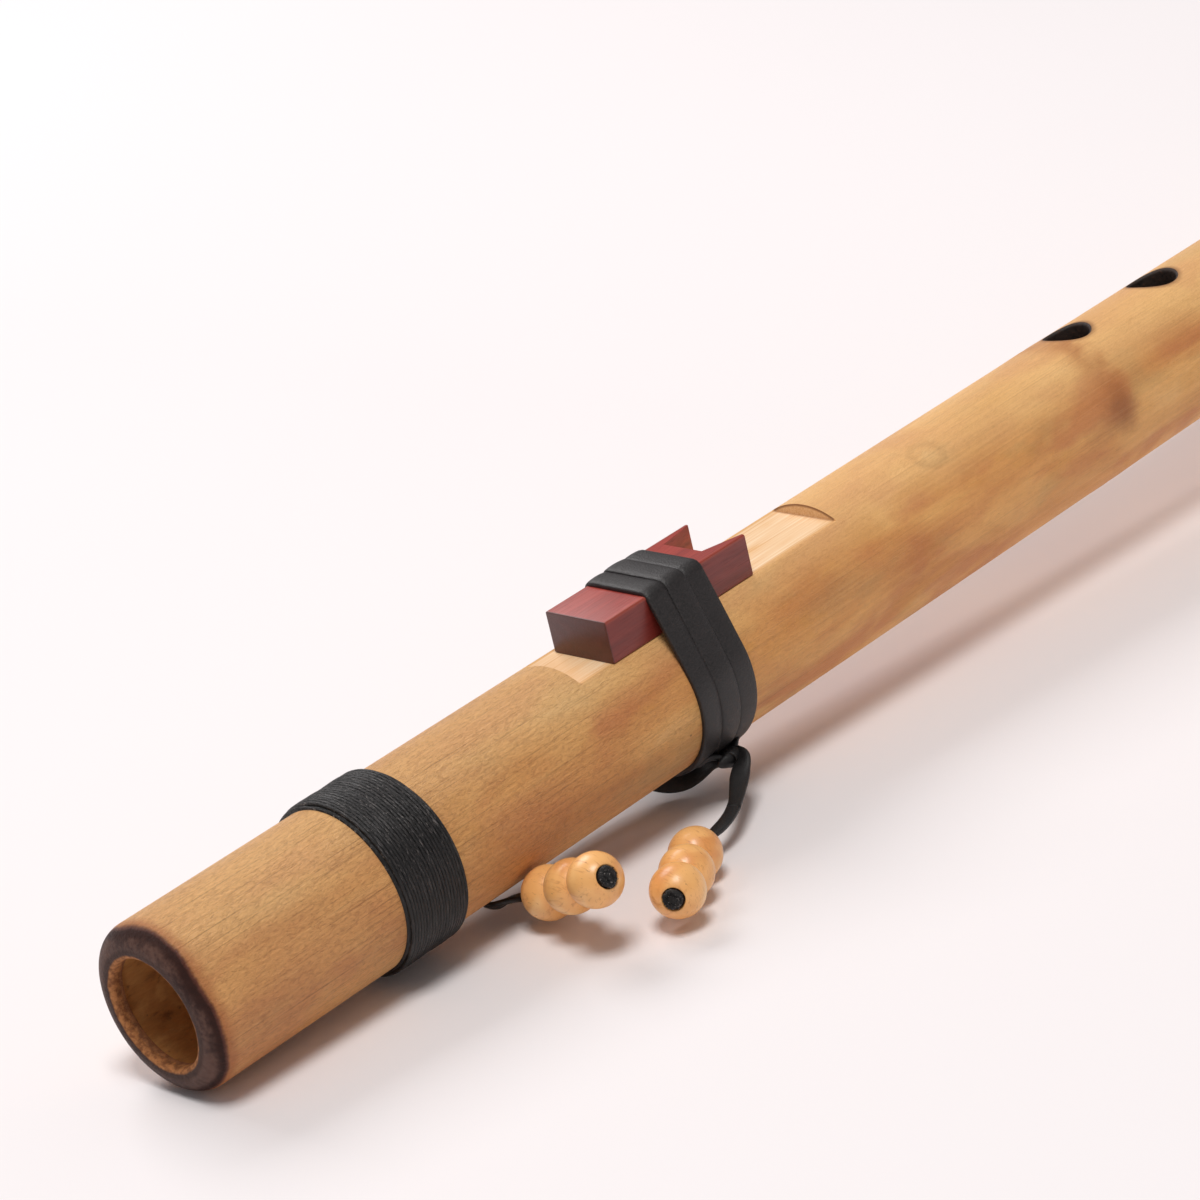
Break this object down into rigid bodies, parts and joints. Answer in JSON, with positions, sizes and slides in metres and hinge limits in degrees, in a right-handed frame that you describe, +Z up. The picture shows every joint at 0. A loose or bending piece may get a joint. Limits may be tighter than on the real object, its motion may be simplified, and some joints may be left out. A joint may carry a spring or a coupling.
{
  "type": "bamboo flute",
  "caption": "Straight bamboo duct flute with a notched wooden block tied over its flue, a thread-wrapped mouth end, finger holes on top and beaded leather tails on the tie.",
  "frame": {"origin": "centre of the mouth hole, on the face of the mouth end", "axes": "+X along the tube from the mouth to the foot, +Z up through the block and the finger holes, +Y to the player's left"},
  "size_m": [0.446, 0.0616, 0.0459],
  "materials": {
    "bamboo": "sanded and oiled bamboo with fine fibres, scorched at the mouth rim",
    "thread": "waxed black thread",
    "red_wood": "oiled dark red hardwood",
    "lace": "matte black leather lace",
    "bead_wood": "polished pale wood"
  },
  "bodies": {
    "flute": {"bamboo_tube": "bamboo", "mouth_wrap": "thread", "strap": "lace", "tie_knot": "lace", "lace_left_run": "lace"},
    "block": {"block": "red_wood"},
    "left_tail": {"lace_left_end": "lace"},
    "right_tail": {"lace_right_link": "lace"},
    "right_tail_end": {"lace_right_end": "lace"},
    "bead_left_rear": {"bead_left_rear": "bead_wood"},
    "bead_left_mid": {"bead_left_mid": "bead_wood"},
    "bead_left_front": {"bead_left_front": "bead_wood"},
    "bead_right_rear": {"bead_right_rear": "bead_wood"},
    "bead_right_mid": {"bead_right_mid": "bead_wood"},
    "bead_right_front": {"bead_right_front": "bead_wood"}
  },
  "joints": [
    {"name": "block_slide", "type": "slide", "parent": "flute", "child": "block", "axis": [1, 0, 0], "range_m": [-0.003, 0.003]},
    {"name": "left_tail_swing", "type": "hinge", "parent": "flute", "child": "left_tail", "pos_m": [0.0766, -0.0072, -0.0172], "axis": [0, 0, 1], "range_deg": [-12, 10]},
    {"name": "right_tail_swing", "type": "hinge", "parent": "flute", "child": "right_tail", "pos_m": [0.12871, -0.01585, -0.01387], "axis": [0, 0, 1], "range_deg": [0, 75]},
    {"name": "right_beads_lift", "type": "hinge", "parent": "right_tail", "child": "right_tail_end", "pos_m": [0.1046, -0.0258, -0.0173], "axis": [-0.5664, 0.8241, 0], "range_deg": [0, 55]},
    {"name": "bead_left_rear_spin", "type": "hinge", "parent": "left_tail", "child": "bead_left_rear", "pos_m": [0.0757, -0.0119, -0.0157], "axis": [-0.1472, -0.8987, 0.4131], "continuous": true},
    {"name": "bead_left_mid_spin", "type": "hinge", "parent": "left_tail", "child": "bead_left_mid", "pos_m": [0.0757, -0.0119, -0.0157], "axis": [-0.1472, -0.8987, 0.4131], "continuous": true},
    {"name": "bead_left_front_spin", "type": "hinge", "parent": "left_tail", "child": "bead_left_front", "pos_m": [0.0757, -0.0119, -0.0157], "axis": [-0.1472, -0.8987, 0.4131], "continuous": true},
    {"name": "bead_right_rear_spin", "type": "hinge", "parent": "right_tail_end", "child": "bead_right_rear", "pos_m": [0.1046, -0.0258, -0.0173], "axis": [-0.814, -0.5594, 0.1564], "continuous": true},
    {"name": "bead_right_mid_spin", "type": "hinge", "parent": "right_tail_end", "child": "bead_right_mid", "pos_m": [0.1046, -0.0258, -0.0173], "axis": [-0.814, -0.5594, 0.1564], "continuous": true},
    {"name": "bead_right_front_spin", "type": "hinge", "parent": "right_tail_end", "child": "bead_right_front", "pos_m": [0.1046, -0.0258, -0.0173], "axis": [-0.814, -0.5594, 0.1564], "continuous": true}
  ]
}
